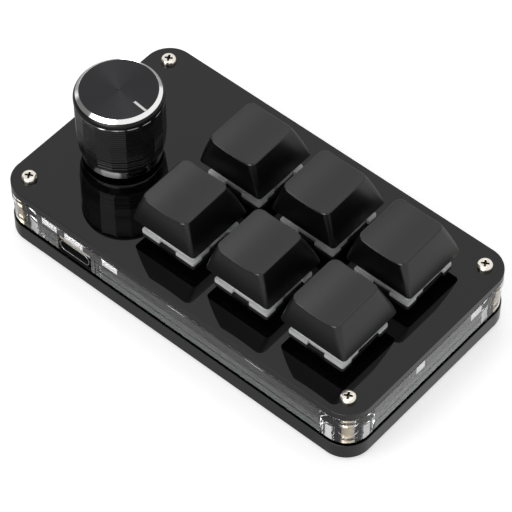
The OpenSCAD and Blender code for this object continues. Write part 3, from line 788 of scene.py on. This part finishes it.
@operator
class KEYPAD_OT_base_sheet(bpy.types.Operator):
    """Cut the stepped base sheet, and stand it on its rubber feet"""
    bl_idname = "keypad.base_sheet"
    bl_label = "Base Sheet"

    def execute(self, context):
        case = context.scene.keypad_case
        low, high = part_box("bottom_plate")
        ledge = high.z - case.step_height
        piece = block("base_sheet", low, (high.x, high.y, ledge))
        round_uprights(piece, case.corner, 24)
        with editing(piece, "FACE"):
            pick(piece, "faces", at_level(ledge))
            bpy.ops.mesh.inset(thickness=case.step, use_even_offset=True)
            bpy.ops.mesh.extrude_region_move(TRANSFORM_OT_translate={"value": (0, 0, case.step_height)})
        tools = []
        for place in screw_places():
            tools.append(rod("hole", place, 1.1 * MM, low.z - MM, high.z + MM))
            tools.append(rod("counterbore", place, 2.1 * MM, low.z - MM, low.z + 1.6 * MM))
        carve(piece, tools)
        round_edges(piece, case.edge)
        hang(piece, "board", "gloss_black_sheet", "bottom_plate")
        foot_low, foot_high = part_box("rubber_feet")
        radius = 4 * MM
        feet = [rod("foot", (x, y), radius, foot_low.z, foot_high.z, 64)
                for x in (foot_low.x + radius, foot_high.x - radius)
                for y in (foot_low.y + radius, foot_high.y - radius)]
        feet = join("desk_feet", feet)
        round_edges(feet, 0.25 * MM, 4)
        hang(feet, "board", "black_rubber", "rubber_feet")
        return {"FINISHED"}


@operator
class KEYPAD_OT_screws(bpy.types.Operator):
    """Turn the pan-head screws, cut their cross recesses and paint shade into the recesses"""
    bl_idname = "keypad.screws"
    bl_label = "Screws"

    def execute(self, context):
        for node, seat, way in (("top_screws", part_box("top_plate")[1].z, 1),
                                ("bottom_screws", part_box("bottom_screws")[0].z + 1.3 * MM, -1)):
            self.make(node, seat, way)
        return {"FINISHED"}

    def make(self, node, seat, way):
        low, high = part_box(node)
        shank_end = low.z if way > 0 else high.z
        head_r, side, crown, head_h = 1.85 * MM, 0.5 * MM, 0.6 * MM, 1.3 * MM
        centre = Vector((0, 0, 0))
        outline = [(0.97 * MM, shank_end), (1.0 * MM, shank_end + way * 0.15 * MM), (1.0 * MM, seat),
                   (head_r - 0.1 * MM, seat), (head_r, seat + way * 0.1 * MM), (head_r, seat + way * side)]
        for step in range(1, 9):
            angle = step * math.pi / 16
            outline.append((head_r - crown + crown * math.cos(angle),
                            seat + way * (side + (head_h - side) * math.sin(angle))))
        outline.append((0.4 * MM, seat + way * head_h))
        model = turned("screw", centre, outline, 64)
        recess_half, recess_w, deep = 1.05 * MM, 0.28 * MM, 0.95 * MM
        ends = sorted((seat + way * (head_h - deep), seat + way * (head_h + 0.2 * MM)))
        arms = [block("arm", (-recess_half, -recess_w, ends[0]), (recess_half, recess_w, ends[1])),
                block("arm", (-recess_w, -recess_half, ends[0]), (recess_w, recess_half, ends[1]))]
        for arm in arms:
            with editing(arm, "FACE"):
                pick(arm, "faces", at_level(ends[0] if way > 0 else ends[1]))
                bpy.ops.transform.resize(value=(0.62, 0.62, 1), center_override=(0, 0, 0))
        carve(model, arms)
        round_edges(model, 0.05 * MM, 2, math.radians(40))
        turn = Matrix.Rotation(math.radians(30), 4, "Z")
        model.data.transform(turn)
        screws = [copied(model, "screw_copy", place) for place in screw_places()]
        bpy.data.objects.remove(model)
        piece = join(node.replace("screws", "screw_set"), screws)
        hang(piece, "board", "nickel", node, "nickel", "dark_recess")

        places = screw_places()

        # Painted shade: the faces inside each cross recess get the dark brown metal, standing in for the
        # shade in the hollow.
        def in_painted_recess_shade(face):
            out = min((face.center.xy - place.xy).length for place in places)
            return out < 1.12 * MM and 0.2 * MM < way * (face.center.z - seat) < head_h - 0.1 * MM

        paint(piece, 1, in_painted_recess_shade)


@operator
class KEYPAD_OT_switches(bpy.types.Operator):
    """Mould the white switch housings, their notched flanges and their covers"""
    bl_idname = "keypad.switches"
    bl_label = "Switches"

    def execute(self, context):
        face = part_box("top_plate")[1].z
        first = middle("switch_base_1").xy.to_3d()
        first.z = face
        shell = self.housing(first)
        cover = self.cover(first)
        for k in KEYS:
            offset = middle(f"switch_base_{k}").xy.to_3d() - first.xy.to_3d()
            for model, name, node in ((shell, "switch_housing", "switch_base"),
                                      (cover, "switch_top", "switch_cover")):
                piece = copied(model, f"{name}_{k}", offset)
                hang(piece, "board", "white_housing", f"{node}_{k}")
        bpy.data.objects.remove(shell)
        bpy.data.objects.remove(cover)
        return {"FINISHED"}

    def box_at(self, place, half, low, high):
        """A block centred on the switch's axis, between two levels over the top sheet."""
        return block("part", place + Vector((-half[0], -half[1], low)),
                     place + Vector((half[0], half[1], high)))

    def housing(self, place):
        half, thick, body_half = 7.8 * MM, 1.0 * MM, 6.95 * MM
        flange = self.box_at(place, (half, half), 0, thick)
        round_uprights(flange, 0.5 * MM, 5)
        notches = []
        for side, reach in ((Vector((1, 0, 0)), 4.8 * MM), (Vector((0, 1, 0)), 2.45 * MM)):
            along = Vector((side.y, side.x, 0)) * reach
            for way in (-1, 1):
                corners = (place + side * way * body_half - along, place + side * way * (half + MM) + along)
                low = Vector([min(pair) for pair in zip(*corners)])
                high = Vector([max(pair) for pair in zip(*corners)])
                notches.append(block("notch", low - Vector((0, 0, MM)), high + Vector((0, 0, 2 * thick))))
        carve(flange, notches)
        round_edges(flange, 0.14 * MM, 3)
        body = self.box_at(place, (6.95 * MM, 6.95 * MM), -5 * MM, 0.3 * MM)
        round_uprights(body, 0.4 * MM, 3)
        carve(flange, [body], "UNION")
        hollow = self.box_at(place, (5.1 * MM, 5.1 * MM), -3.8 * MM, 2 * thick)
        carve(flange, [hollow])
        guide = rod("guide", place, 1.6 * MM, place.z - 4.5 * MM, place.z - 0.2 * MM, 48)
        post = rod("post", place, 2 * MM, place.z - 8.3 * MM, place.z - 3.9 * MM, 48)
        carve(flange, [guide, post], "UNION")
        carve(flange, [rod("bore", place, 1.05 * MM, place.z - 7 * MM, place.z, 48)])
        for way in (-1, 1):
            arm = place + Vector((way * 7.1 * MM, -3.45 * MM, 0.35 * MM))
            reach = Vector((0.3 * MM, 1.35 * MM, 0.6 * MM))
            carve(flange, [block("arm", arm - reach, arm + reach)], "UNION")
            slit = place + Vector((way * 6.8 * MM, -1.27 * MM, 0.4 * MM))
            reach = Vector((0.5 * MM, 0.82 * MM, 0.8 * MM))
            carve(flange, [block("slit", slit - reach, slit + reach)])
        smooth(flange)
        return flange

    def cover(self, place):
        low, high = 1.0 * MM, 6.6 * MM
        piece = self.box_at(place, (7 * MM, 7 * MM), low, high)
        with editing(piece, "FACE"):
            pick(piece, "faces", at_level(place.z + high))
            bpy.ops.transform.resize(value=(10 / 14, 9.6 / 14, 1), center_override=place)
        round_uprights(piece, 0.6 * MM, 4)
        round_edges(piece, 0.18 * MM, 3)
        carve(piece, [self.box_at(place, (4.6 * MM, 3.7 * MM), low - MM, 5.4 * MM),
                      self.box_at(place, (3.7 * MM, 3.1 * MM), low, high + MM)])
        smooth(piece)
        return piece


@operator
class KEYPAD_OT_keycaps(bpy.types.Operator):
    """Mould one blank keycap, and put a copy on each key"""
    bl_idname = "keypad.keycaps"
    bl_label = "Keycaps"

    LEVELS = 8

    def execute(self, context):
        keys = context.scene.keypad_keys
        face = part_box("top_plate")[1].z
        base_low, base_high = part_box("keycap_1")
        first = middle("keycap_1").xy.to_3d() + Vector((0, 0, face))
        top = 14.6 * MM
        low, high = base_low.z - face, top + 0.5 * MM
        half = (base_high.x - base_low.x) / 2

        def swell(level):
            share = (level - low) / (top - low)
            return share, 4 * keys.bulge * share * (1 - share)

        def outline(level, wall):
            """Half width, front and back of the cap at a level, moved in by a wall."""
            share, out = swell(level)
            return (half + (keys.top_width / 2 - half) * share + out - wall,
                    half + (keys.top_front - half) * share + out - wall,
                    half + (keys.top_back - half) * share + out - wall)

        start = low - MM
        cap = self.tapered("cap", first, start, high, self.LEVELS, lambda level: outline(level, 0))
        round_uprights(cap, keys.corner, 10)
        for vert in cap.data.vertices:
            level = vert.co.z - first.z
            wide, front, back = outline(level, 0)
            corner = Vector((math.copysign(wide, vert.co.x - first.x) + first.x,
                             (back if vert.co.y > first.y else -front) + first.y))
            blend = min(max((level - low) / (top - low), 0), 1)
            share = (keys.base_corner * (1 - blend) + keys.corner * blend) / keys.corner
            vert.co.xy = corner + (vert.co.xy - corner) * share
        carve(cap, [self.trough(first, keys, top)])
        round_edges(cap, keys.rim, 5)
        carve(cap, [block("below", first + Vector((-2 * half, -2 * half, start - MM)),
                          first + Vector((2 * half, 2 * half, low)))])
        hollow = self.tapered("hollow", first, low - 0.1 * MM, 12.4 * MM, 2,
                              lambda level: outline(level, keys.wall))
        round_uprights(hollow, 0.8 * MM, 5)
        carve(cap, [hollow])
        post_low, post_high = 6.6 * MM, 12.5 * MM
        carve(cap, [rod("post", first, 2.7 * MM, first.z + post_low, first.z + post_high, 64)], "UNION")
        arm, thin = 2.03 * MM, 0.62 * MM
        cross = [(arm, thin), (thin, arm)]
        carve(cap, [block("slot", first + Vector((-x, -y, post_low - MM)),
                          first + Vector((x, y, 10.1 * MM))) for x, y in cross])
        smooth(cap)
        for k in KEYS:
            offset = middle(f"keycap_{k}").xy.to_3d() - first.xy.to_3d()
            piece = copied(cap, f"cap_{k}", offset)
            hang(piece, f"key_{k}", "cap_black", f"keycap_{k}")
        bpy.data.objects.remove(cap)
        return {"FINISHED"}

    def tapered(self, name, place, low, high, levels, outline):
        """A block that follows an outline of half width, front and back at each level."""
        wide, front, back = outline(low)
        piece = block(name, place + Vector((-wide, -front, low)), place + Vector((wide, back, low + MM)))
        with editing(piece, "FACE"):
            before = (wide, front, back, low + MM)
            pick(piece, "faces", at_level(place.z + low + MM))
            for step in range(1, levels + 1):
                level = low + (high - low) * step / levels
                wide, front, back = outline(level)
                if step > 1:
                    bpy.ops.mesh.extrude_region_move()
                bpy.ops.transform.translate(value=(0, 0, level - before[3]))
                bpy.ops.transform.resize(
                    value=(wide / before[0], (front + back) / (before[1] + before[2]), 1),
                    center_override=place + Vector((0, (before[2] - before[1]) / 2, level)))
                bpy.ops.transform.translate(
                    value=(0, (back - front) / 2 - (before[2] - before[1]) / 2, 0))
                before = (wide, front, back, level)
        return piece

    def trough(self, place, keys, top):
        """The shallow trough along Y, a little higher at the back."""
        radius = ((keys.top_width / 2) ** 2 + keys.dish ** 2) / (2 * keys.dish)
        tilt = Matrix.Rotation(keys.tilt, 4, "X")
        centre = place + Vector((0, 0, top - keys.dish)) + tilt @ Vector((0, 0, radius))
        deselect()
        bpy.ops.mesh.primitive_cylinder_add(
            vertices=252, radius=radius, depth=40 * MM, location=centre,
            rotation=(math.pi / 2 + keys.tilt, 0, 0))
        return settle("trough")


@operator
class KEYPAD_OT_knob(bpy.types.Operator):
    """Turn the faceted knob with its grooves, bright chamfers and pointer"""
    bl_idname = "keypad.knob"
    bl_label = "Knob"

    SIDES = 288
    BREAK, LEAN = 7.5 * MM, math.tan(math.radians(4.3))
    FOOT_TOP, SHOULDER_DROP, BROW = 2.7 * MM, 2.1 * MM, 0.16 * MM
    RING_OUT, RING_IN, RING_DROP, DISH = 9.9 * MM, 9.1 * MM, 0.8 * MM, 0.1 * MM

    def execute(self, context):
        knob = context.scene.keypad_knob
        low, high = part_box("knob_body")
        axis = middle("knob_body").xy.to_3d()
        radius, height = (high.x - low.x) / 2, high.z - low.z
        facet_top = height - self.SHOULDER_DROP - 0.15 * MM
        outline = self.outline(knob, radius, height, facet_top)
        piece = turned("turned_knob", axis, [(r, low.z + z) for r, z in outline], self.SIDES)
        half_facet = math.pi / knob.facets
        for vert in piece.data.vertices:
            level = vert.co.z - low.z
            out = vert.co.xy - axis.xy
            if not self.FOOT_TOP < level < facet_top or out.length < radius * 0.85:
                continue
            angle = math.atan2(out.y, out.x) % (2 * half_facet) - half_facet
            plane = radius - knob.facet_depth - max(self.BREAK - level, 0) * self.LEAN
            plane += self.shift(knob, level, facet_top, angle / half_facet)
            vert.co.xy = axis.xy + out * (min(out.length, plane / math.cos(angle)) / out.length)
        pointer = block("pointer_groove", (5.2 * MM, -0.3 * MM, high.z - 0.2 * MM),
                        (9.0 * MM, 0.3 * MM, high.z + MM))
        line = block("pointer_line", (5.2 * MM, -0.3 * MM, high.z - 0.2 * MM),
                     (9.0 * MM, 0.3 * MM, high.z - 0.03 * MM))
        turn = Matrix.Translation(axis) @ Matrix.Rotation(knob.pointer, 4, "Z")
        for tool in (pointer, line):
            tool.data.transform(turn)
        carve(piece, [pointer])
        smooth(piece, math.radians(16))
        hang(piece, "knob", "black_aluminium", "knob_body",
             "knob_side", "knob_disc", "knob_chamfer", "knob_brow", "knob_foot", "knob_shoulder")

        def kind(face):
            """The number of a face's finish, from its level and its distance from the axis."""
            level, out = face.center.z - low.z, (face.center.xy - axis.xy).length
            if level > height - self.DISH - 0.21 * MM and out < self.RING_IN - 0.05 * MM:
                return 1
            if level > height - self.RING_DROP and face.normal.z > 0.3:
                return 2
            if 0.05 * MM < level < 1.4 * MM and out > 9 * MM:
                return 4
            if level > facet_top - 0.01 * MM and out > self.RING_IN:
                return 5
            return 3 if abs(level - facet_top + 0.17 * MM) < 0.1 * MM else 0

        for face in piece.data.polygons:
            face.material_index = kind(face)
        round_edges(line, 0.03 * MM, 2)
        hang(line, "knob", "pointer_white", "knob_pointer")
        return {"FINISHED"}

    def outline(self, knob, radius, height, facet_top):
        """Radius and level of each ring, from the roof of the hollow round to the top disc."""
        roof, full = height - 1.7 * MM, 3.4 * MM
        hollow, foot, cove, rim = 8 * MM, 9.4 * MM, 9.05 * MM, 9.75 * MM
        points = [(0.3 * MM, roof), (hollow, roof), (hollow, 0.1 * MM), (hollow + 0.1 * MM, 0),
                  (foot - 0.05 * MM, 0), (foot, 0.05 * MM), (foot, 0.1 * MM), (cove, 1.5 * MM),
                  (rim, self.FOOT_TOP), (9.97 * MM, 2.92 * MM), (radius, full)]
        grip_top = facet_top - 0.36 * MM
        bands = ((full, self.BREAK, knob.foot_groove), (self.BREAK, grip_top, knob.groove))
        for start, end, spacing in bands:
            rings = 6 * round((end - start) / spacing)
            points += [(radius, start + (end - start) * i / rings) for i in range(1, rings + 1)]
        points += [(radius, facet_top - drop * MM) for drop in (0.32, 0.02, 0)]
        shoulder, ring_z = height - self.SHOULDER_DROP, height - self.RING_DROP
        sweep = math.radians(60)
        for i in range(9):
            angle = sweep * i / 8
            blend = (math.cos(angle) - math.cos(sweep)) / (1 - math.cos(sweep))
            points.append((self.RING_OUT + (radius - self.RING_OUT) * blend,
                           shoulder + (ring_z - shoulder) * math.sin(angle) / math.sin(sweep)))
        inner = self.RING_IN - 0.04 * MM
        points += [(self.RING_IN, height), (inner, height - 0.05 * MM)]
        points += [(inner * share, height - 0.05 * MM - self.DISH * (1 - share))
                   for share in (0.97, 0.66, 0.33, 0.06, 0.035)]
        points += [(0.2 * MM, height - self.DISH - 0.2 * MM)]
        return points

    def shift(self, knob, level, facet_top, across):
        """How far a facet moves out at a level: turned grooves, and a small brow at its top."""
        if level > facet_top - 0.34 * MM:
            return self.BROW * (1 - across * across) if level < facet_top - 0.1 * MM else -0.02 * MM
        grip = level > self.BREAK
        spacing = knob.groove if grip else knob.foot_groove
        deep = knob.groove_depth * (1 if grip else 1.6)
        return -deep * (0.5 - 0.5 * math.cos(2 * math.pi * (level - self.BREAK) / spacing))


@operator
class KEYPAD_OT_socket(bpy.types.Operator):
    """Press the cable socket's shell from thin sheet"""
    bl_idname = "keypad.socket"
    bl_label = "Socket"

    def execute(self, context):
        low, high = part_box("usb_shell")
        piece = block("socket_shell", low, high)
        radius = 0.42 * (high.z - low.z)
        with editing(piece, "EDGE"):
            pick(piece, "edges", lambda edge: abs((edge.verts[0].co - edge.verts[1].co).y) > MM)
            bpy.ops.mesh.bevel(offset=radius, segments=14, affect="EDGES")
            bpy.ops.mesh.select_mode(type="FACE")
            pick(piece, "faces", lambda face: all(abs(v.co.y - low.y) < 1e-7 for v in face.verts))
            bpy.ops.mesh.inset(thickness=0.18 * MM, use_even_offset=True)
            bpy.ops.mesh.extrude_region_move(
                TRANSFORM_OT_translate={"value": (0, high.y - low.y - 0.3 * MM, 0)})
        round_edges(piece, 0.06 * MM, 3)
        hang(piece, "board", "nickel", "usb_shell", "socket_rim", "black_plastic")
        centre = (low + high) / 2
        # Partly painted shade: the inward faces of the shell's mouth get black plastic. A real socket holds
        # a black plastic tongue, but its walls are metal, and their darkness here stands in for the shade
        # inside the mouth.
        paint(piece, 1, lambda face: face.center.y > low.y + 0.1 * MM and face.center.y < high.y - 0.1 * MM
              and face.normal.dot(face.center.xz.to_3d().xzy - centre.xz.to_3d().xzy) < 0)
        return {"FINISHED"}


@operator
class KEYPAD_OT_stage(bpy.types.Operator):
    """Set the pale floor, the soft lamps and the camera"""
    bl_idname = "keypad.stage"
    bl_label = "Stage"

    def execute(self, context):
        stage = context.scene.keypad_stage
        context.scene.view_settings.view_transform = "Standard"
        self.floor()
        self.world(stage)
        self.lamp("key_lamp", 124, 71, 0.28, stage.lamp_power)
        self.lamp("front_lamp", -112, 42, 0.5, stage.fill_power)
        self.camera(context, stage)
        return {"FINISHED"}

    def seen(self, tree):
        """One where a ray from the camera, a reflection or clear sheet looks, and nought for light."""
        path = tree.nodes.new("ShaderNodeLightPath")
        both = sums(tree, "MAXIMUM", path.outputs["Is Camera Ray"], path.outputs["Is Glossy Ray"])
        return path, sums(tree, "MAXIMUM", both, path.outputs["Is Transmission Ray"])

    def floor(self):
        deselect()
        bpy.ops.mesh.primitive_plane_add(size=6)
        piece = settle("floor")
        with editing(piece, "FACE"):
            bpy.ops.mesh.select_all(action="SELECT")
            bpy.ops.mesh.subdivide(number_cuts=7)
        made, tree, shader = material("floor", (0.86, 0.86, 0.86, 1), Roughness=0.9, Specular_IOR_Level=0.0)
        place = tree.nodes.new("ShaderNodeTexCoord").outputs["Object"]
        path = tree.nodes.new("ShaderNodeLightPath")
        split = tree.nodes.new("ShaderNodeSeparateXYZ")
        tree.links.new(place, split.inputs["Vector"])
        glossy = path.outputs["Is Glossy Ray"]
        # Painted shade: in reflections the floor loses its lit colour and glows at 0.4, rising to 0.95 only
        # beyond x 0.07, so the floor in front of the keypad reflects darker as if in its shade.
        tree.links.new(graded(tree, glossy, 0.0, 1.0, 0.86, 0.0), shader.inputs["Base Color"])
        reflected_floor_shade = sums(tree, "MULTIPLY", glossy, graded(tree, split.outputs["X"], 0.04, 0.07, 0.4, 0.95))
        direct = sums(tree, "MULTIPLY", sums(
            tree, "MAXIMUM", path.outputs["Is Camera Ray"], path.outputs["Is Transmission Ray"]), 0.55)
        shader.inputs["Emission Color"].default_value = (1, 1, 1, 1)
        tree.links.new(sums(tree, "MAXIMUM", reflected_floor_shade, direct), shader.inputs["Emission Strength"])
        piece.data.materials.append(made)

    def patch(self, tree, azimuth, elevation, reach, soft):
        """One inside a round patch of the sky, nought outside; angles in degrees from +X."""
        place = tree.nodes.new("ShaderNodeTexCoord").outputs["Generated"]
        towards = tree.nodes.new("ShaderNodeVectorMath")
        towards.operation = "DOT_PRODUCT"
        tree.links.new(place, towards.inputs[0])
        towards.inputs[1].default_value = direction(azimuth, elevation)
        return graded(tree, towards.outputs["Value"], math.cos(math.radians(reach + soft)),
                      math.cos(math.radians(reach - soft)), 0.0, 1.0)

    def world(self, stage):
        """White wherever it is seen. Reflections also show a bright window and a dark card."""
        world = bpy.data.worlds.new("studio")
        bpy.context.scene.world = world
        world.use_nodes = True
        tree = world.node_tree
        background = tree.nodes["Background"]
        background.inputs["Color"].default_value = (1, 1, 1, 1)
        path, seen = self.seen(tree)
        window = sums(tree, "MULTIPLY", self.patch(tree, -79, 25, 22, 3), stage.window)
        card = sums(tree, "MULTIPLY", self.patch(tree, -142, 17, 27, 5), -0.8)
        shift = sums(tree, "MULTIPLY", path.outputs["Is Glossy Ray"], sums(tree, "ADD", window, card))
        plain = graded(tree, seen, 0.0, 1.0, stage.sky, 1.0)
        tree.links.new(sums(tree, "ADD", plain, shift), background.inputs["Strength"])

    def lamp(self, name, azimuth, elevation, size, power):
        """A round soft lamp a metre away, aimed at the origin; angles in degrees from +X."""
        light = bpy.data.lights.new(name, "AREA")
        light.shape = "DISK"
        light.size = size
        light.energy = power
        lamp = bpy.data.objects.new(name, light)
        bpy.context.scene.collection.objects.link(lamp)
        lamp.location = direction(azimuth, elevation)
        lamp.rotation_euler = (-lamp.location).to_track_quat("-Z", "Y").to_euler()

    def camera(self, context, stage):
        """Looks at the middle of the keys on the top sheet's face."""
        low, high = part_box("top_plate")
        target = (middle("keycap_1") + middle("keycap_6")) / 2
        target.z = high.z
        az, el = stage.azimuth, stage.elevation
        back = Vector((math.sin(az) * math.cos(el), -math.cos(az) * math.cos(el), math.sin(el)))
        right = Vector((math.cos(az), math.sin(az), 0))
        up = back.cross(right)
        turned_right = right * math.cos(stage.roll) + up * math.sin(stage.roll)
        turned_up = up * math.cos(stage.roll) - right * math.sin(stage.roll)
        data = bpy.data.cameras.new("camera")
        data.lens = stage.lens
        data.sensor_width = 36
        data.clip_start = 0.01
        camera = bpy.data.objects.new("camera", data)
        context.scene.collection.objects.link(camera)
        place = target + back * stage.distance + turned_right * stage.aside[0] + turned_up * stage.aside[1]
        camera.matrix_world = Matrix((
            (turned_right.x, turned_up.x, back.x, place.x),
            (turned_right.y, turned_up.y, back.y, place.y),
            (turned_right.z, turned_up.z, back.z, place.z),
            (0, 0, 0, 1)))
        context.scene.camera = camera


class KEYPAD_PT_panel(bpy.types.Panel):
    """Lists the keypad's steps and settings in the 3D view's sidebar"""
    bl_label = "Desk Keypad"
    bl_space_type = "VIEW_3D"
    bl_region_type = "UI"
    bl_category = "Keypad"

    def draw(self, context):
        for cls in STEPS:
            self.layout.operator(cls.bl_idname)
        for name in SETTINGS:
            box = self.layout.box()
            settings = getattr(context.scene, name)
            for key in settings.__annotations__:
                box.prop(settings, key)


SETTINGS = {
    "keypad_case": KeypadCase,
    "keypad_keys": KeypadKeys,
    "keypad_knob": KeypadKnob,
    "keypad_finishes": KeypadFinishes,
    "keypad_stage": KeypadStage,
}


def register():
    for cls in [*SETTINGS.values(), *STEPS, KEYPAD_PT_panel]:
        bpy.utils.register_class(cls)
    for name, cls in SETTINGS.items():
        setattr(bpy.types.Scene, name, bpy.props.PointerProperty(type=cls))


def unregister():
    for name in SETTINGS:
        delattr(bpy.types.Scene, name)
    for cls in reversed([*SETTINGS.values(), *STEPS, KEYPAD_PT_panel]):
        bpy.utils.unregister_class(cls)


def main():
    register()
    for cls in STEPS:
        getattr(bpy.ops.keypad, cls.bl_idname.split(".")[1])()


if __name__ == "__main__":
    main()
